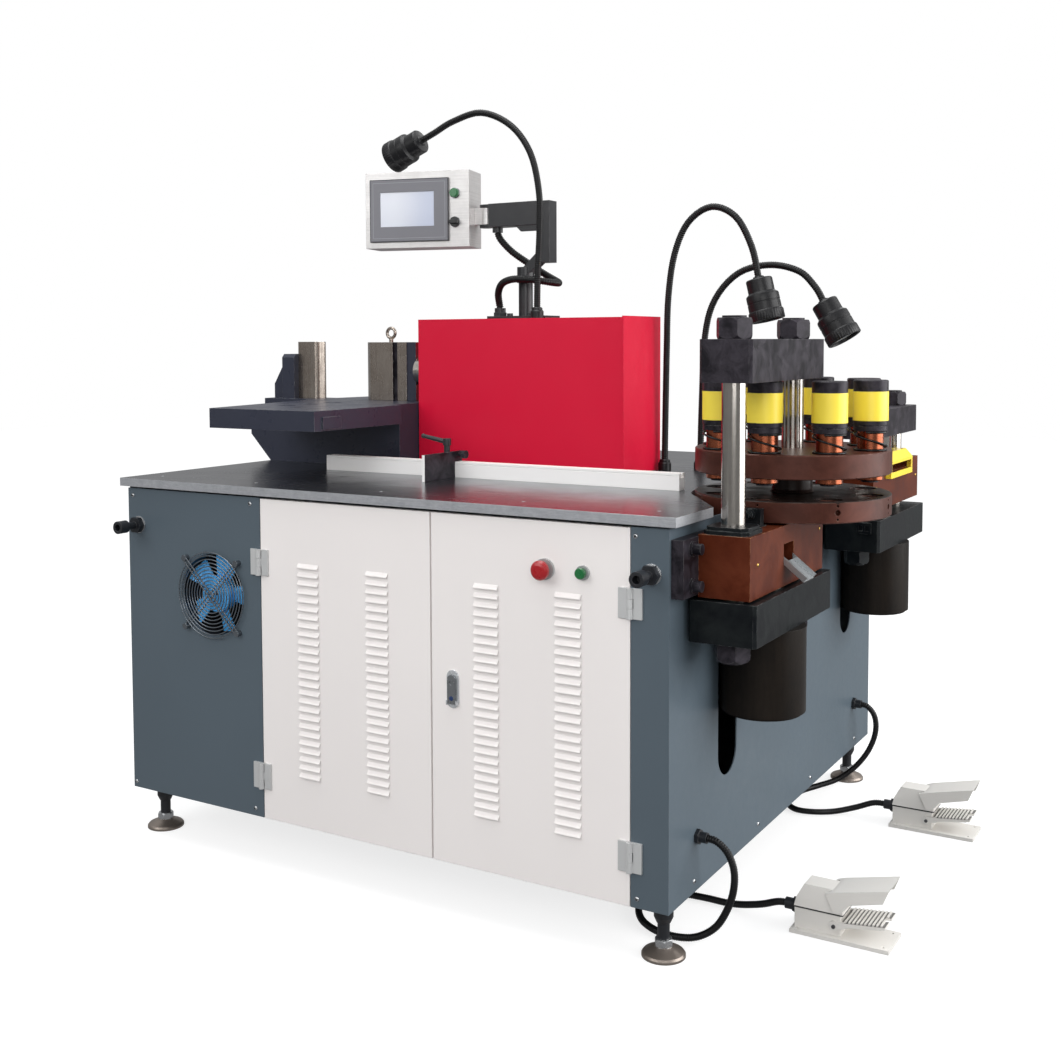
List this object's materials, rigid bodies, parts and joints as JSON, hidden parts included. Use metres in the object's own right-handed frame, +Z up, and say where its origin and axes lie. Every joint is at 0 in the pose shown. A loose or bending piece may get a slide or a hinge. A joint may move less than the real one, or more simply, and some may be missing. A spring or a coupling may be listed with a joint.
{
  "type": "busbar processing machine",
  "caption": "Busbar machine on a louvred cabinet with a turret punching press, a shear, a horizontal bending unit under a red cover, a screen on an arm, lamps and foot pedals.",
  "frame": {"origin": "middle of the machine's extents without its pedals, on the floor", "axes": "+Z up, front with the doors towards -Y, turret side towards +X"},
  "size_m": [2.011, 1.44, 1.8505],
  "materials": {
    "cabinet_grey": "satin powder coat",
    "door_white": "satin powder coat",
    "cover_red": "satin paint",
    "bed_grey": "satin paint",
    "frame_grey": "paint",
    "worktop_steel": "ground plate",
    "tool_steel": "ground",
    "column_steel": "polished",
    "black_steel": "black oxide",
    "yoke_steel": "oiled black",
    "copper_block": "bronzed steel",
    "disc_steel": "bronzed steel",
    "punch_body": "black and copper steel with a yellow sleeve",
    "spring_steel": "black spring wire",
    "guard_yellow": "gloss paint",
    "fence_aluminium": "anodised",
    "hinge_zinc": "cast zinc",
    "box_steel": "brushed sheet",
    "black_plastic": "moulded",
    "bezel_grey": "moulded",
    "blue_plastic": "moulded",
    "button_red": "moulded",
    "button_green": "moulded",
    "cord_rubber": "ribbed sheath",
    "pedal_cast": "cast, painted pale grey"
  },
  "bodies": {
    "base": {"cabinet_frame": "frame_grey", "left_panel": "cabinet_grey", "right_panel": "cabinet_grey", "front_panel": "cabinet_grey", "back_panel": "cabinet_grey", "worktop": "worktop_steel", "levelling_feet": "black_steel", "door_hinges": "hinge_zinc", "fan_housing": "black_plastic", "fan_guard": "hinge_zinc", "hydraulic_unit": "frame_grey", "wall_fittings": "black_steel", "press_block": "copper_block", "shear_block": "copper_block", "shear_guard": "guard_yellow", "bending_bed": "bed_grey", "bending_die": "tool_steel", "bending_cylinder": "yoke_steel", "cylinder_cover": "cover_red", "fence_rail": "fence_aluminium", "arm_base": "bed_grey", "hmi_conduit": "cord_rubber", "lamp_necks": "cord_rubber", "lamp_heads": "black_plastic", "pedal_bases": "pedal_cast", "pedal_cord_front": "cord_rubber", "pedal_cord_rear": "cord_rubber"},
    "left_door": {"left_door": "door_white"},
    "right_door": {"right_door": "door_white"},
    "lock": {"lock_handle": "hinge_zinc"},
    "estop": {"estop_button": "button_red"},
    "start": {"start_button": "button_green"},
    "fan": {"fan_rotor": "blue_plastic"},
    "press": {"press_beam": "black_steel", "press_columns": "column_steel", "press_yoke": "yoke_steel", "press_cylinder": "yoke_steel"},
    "turret": {"upper_disc": "disc_steel", "lower_disc": "disc_steel", "punch_springs": "spring_steel"},
    "punch_1": {"punch_1": "punch_body"},
    "punch_2": {"punch_2": "punch_body"},
    "punch_3": {"punch_3": "punch_body"},
    "punch_4": {"punch_4": "punch_body"},
    "punch_5": {"punch_5": "punch_body"},
    "punch_6": {"punch_6": "punch_body"},
    "punch_7": {"punch_7": "punch_body"},
    "punch_8": {"punch_8": "punch_body"},
    "shear": {"shear_frame": "black_steel", "shear_cylinder": "yoke_steel"},
    "ram": {"bending_ram": "tool_steel"},
    "stop": {"stop_bracket": "black_steel"},
    "lever": {"clamp_lever": "black_steel"},
    "arm": {"arm_boom": "bed_grey"},
    "screen": {"hmi_box": "box_steel", "hmi_panel": "bezel_grey"},
    "screen_button": {"hmi_button": "button_green"},
    "screen_selector": {"hmi_selector": "black_plastic"},
    "treadle_front": {"treadle_front": "pedal_cast"},
    "treadle_rear": {"treadle_rear": "pedal_cast"}
  },
  "joints": [
    {"name": "left_door_hinge", "type": "hinge", "parent": "base", "child": "left_door", "pos_m": [-0.3705, -0.657, 0.5], "axis": [0, 0, -1], "range_deg": [0, 110]},
    {"name": "right_door_hinge", "type": "hinge", "parent": "base", "child": "right_door", "pos_m": [0.5925, -0.657, 0.5], "axis": [0, 0, 1], "range_deg": [0, 110]},
    {"name": "lock_lever", "type": "hinge", "parent": "right_door", "child": "lock", "pos_m": [0.1715, -0.656, 0.468], "axis": [1, 0, 0], "range_deg": [0, 60], "stiffness_Nm_per_rad": 0.08, "springref_deg": -22.92},
    {"name": "estop_push", "type": "slide", "parent": "right_door", "child": "estop", "axis": [0, 1, 0], "range_m": [0, 0.005], "stiffness_N_per_m": 2000, "springref_m": -0.002},
    {"name": "start_push", "type": "slide", "parent": "right_door", "child": "start", "axis": [0, 1, 0], "range_m": [0, 0.003], "stiffness_N_per_m": 1500, "springref_m": -0.002},
    {"name": "fan_spin", "type": "hinge", "parent": "base", "child": "fan", "pos_m": [-0.5225, -0.63, 0.632], "axis": [0, 1, 0], "continuous": true},
    {"name": "press_stroke", "type": "slide", "parent": "base", "child": "press", "axis": [0, 0, -1], "range_m": [0, 0.032]},
    {"name": "turret_index", "type": "hinge", "parent": "base", "child": "turret", "pos_m": [0.7535, -0.178, 0.9], "axis": [0, 0, 1], "continuous": true},
    {"name": "punch_1_stroke", "type": "slide", "parent": "turret", "child": "punch_1", "axis": [0, 0, -1], "range_m": [0, 0.032], "stiffness_N_per_m": 15000, "springref_m": -0.012, "deforming": ["punch_springs"]},
    {"name": "punch_2_stroke", "type": "slide", "parent": "turret", "child": "punch_2", "axis": [0, 0, -1], "range_m": [0, 0.032], "stiffness_N_per_m": 15000, "springref_m": -0.012, "deforming": ["punch_springs"]},
    {"name": "punch_3_stroke", "type": "slide", "parent": "turret", "child": "punch_3", "axis": [0, 0, -1], "range_m": [0, 0.032], "stiffness_N_per_m": 15000, "springref_m": -0.012, "deforming": ["punch_springs"]},
    {"name": "punch_4_stroke", "type": "slide", "parent": "turret", "child": "punch_4", "axis": [0, 0, -1], "range_m": [0, 0.032], "stiffness_N_per_m": 15000, "springref_m": -0.012, "deforming": ["punch_springs"]},
    {"name": "punch_5_stroke", "type": "slide", "parent": "turret", "child": "punch_5", "axis": [0, 0, -1], "range_m": [0, 0.032], "stiffness_N_per_m": 15000, "springref_m": -0.012, "deforming": ["punch_springs"]},
    {"name": "punch_6_stroke", "type": "slide", "parent": "turret", "child": "punch_6", "axis": [0, 0, -1], "range_m": [0, 0.032], "stiffness_N_per_m": 15000, "springref_m": -0.012, "deforming": ["punch_springs"]},
    {"name": "punch_7_stroke", "type": "slide", "parent": "turret", "child": "punch_7", "axis": [0, 0, -1], "range_m": [0, 0.032], "stiffness_N_per_m": 15000, "springref_m": -0.012, "deforming": ["punch_springs"]},
    {"name": "punch_8_stroke", "type": "slide", "parent": "turret", "child": "punch_8", "axis": [0, 0, -1], "range_m": [0, 0.032], "stiffness_N_per_m": 15000, "springref_m": -0.012, "deforming": ["punch_springs"]},
    {"name": "shear_stroke", "type": "slide", "parent": "base", "child": "shear", "axis": [0, 0, -1], "range_m": [0, 0.03]},
    {"name": "ram_stroke", "type": "slide", "parent": "base", "child": "ram", "axis": [-1, 0, 0], "range_m": [0, 0.15]},
    {"name": "stop_slide", "type": "slide", "parent": "base", "child": "stop", "axis": [1, 0, 0], "range_m": [-0.3, 0.5]},
    {"name": "clamp_turn", "type": "hinge", "parent": "stop", "child": "lever", "pos_m": [-0.1245, -0.235, 0.98], "axis": [0, 0, 1], "range_deg": [0, 120]},
    {"name": "arm_swivel", "type": "hinge", "parent": "base", "child": "arm", "pos_m": [-0.0815, 0.08, 1.4], "axis": [0, 0, 1], "range_deg": [-35, 35], "deforming": ["hmi_conduit"]},
    {"name": "screen_pan", "type": "hinge", "parent": "arm", "child": "screen", "pos_m": [-0.2055, 0.08, 1.576], "axis": [0, 0, 1], "range_deg": [-25, 25]},
    {"name": "screen_button_push", "type": "slide", "parent": "screen", "child": "screen_button", "axis": [-0.2419, 0.9703, 0], "range_m": [0, 0.0015], "stiffness_N_per_m": 1500, "springref_m": -0.002},
    {"name": "selector_turn", "type": "hinge", "parent": "screen", "child": "screen_selector", "pos_m": [-0.25877, 0.00661, 1.559], "axis": [0.2419, -0.9703, 0], "range_deg": [-45, 45]},
    {"name": "treadle_front_press", "type": "hinge", "parent": "base", "child": "treadle_front", "pos_m": [0.9105, -0.311, 0.03], "axis": [0, 1, 0], "range_deg": [0, 8], "stiffness_Nm_per_rad": 4, "springref_deg": -8.59},
    {"name": "treadle_rear_press", "type": "hinge", "parent": "base", "child": "treadle_rear", "pos_m": [0.9295, 0.382, 0.03], "axis": [0, 1, 0], "range_deg": [0, 8], "stiffness_Nm_per_rad": 4, "springref_deg": -8.59}
  ],
  "couplings": [
    {"joint": "punch_1_stroke", "follows": "press_stroke", "ratio": 1}
  ]
}
